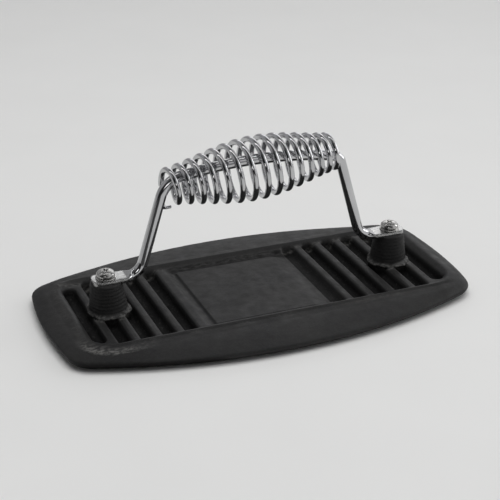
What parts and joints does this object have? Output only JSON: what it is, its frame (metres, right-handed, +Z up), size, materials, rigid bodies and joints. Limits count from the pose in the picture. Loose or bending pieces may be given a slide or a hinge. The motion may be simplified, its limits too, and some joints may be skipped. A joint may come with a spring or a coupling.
{
  "type": "bacon press",
  "caption": "Cast-iron grill press: ribbed plate with a raised bead and two bosses, a bent wire handle and a loose coil-spring grip.",
  "frame": {"origin": "centre of the flat pressing face on the underside of the plate", "axes": "+X along the plate's length, +Y across it, +Z up from the pressing face towards the handle"},
  "size_m": [0.227, 0.126, 0.0908],
  "materials": {
    "plate_iron": "black seasoned satin, sand-cast",
    "chrome_wire": "bright chrome plate",
    "zinc_steel": "bright zinc plate"
  },
  "bodies": {
    "press": {"press_plate": "plate_iron", "handle_rod": "chrome_wire", "washer_left": "zinc_steel", "washer_right": "zinc_steel", "screw_left": "zinc_steel", "screw_right": "zinc_steel"},
    "grip": {"grip_spring": "chrome_wire"}
  },
  "joints": [
    {"name": "grip_spin", "type": "hinge", "parent": "press", "child": "grip", "pos_m": [0, 0, 0.074], "axis": [0.9977, 0, 0.0674], "continuous": true}
  ]
}
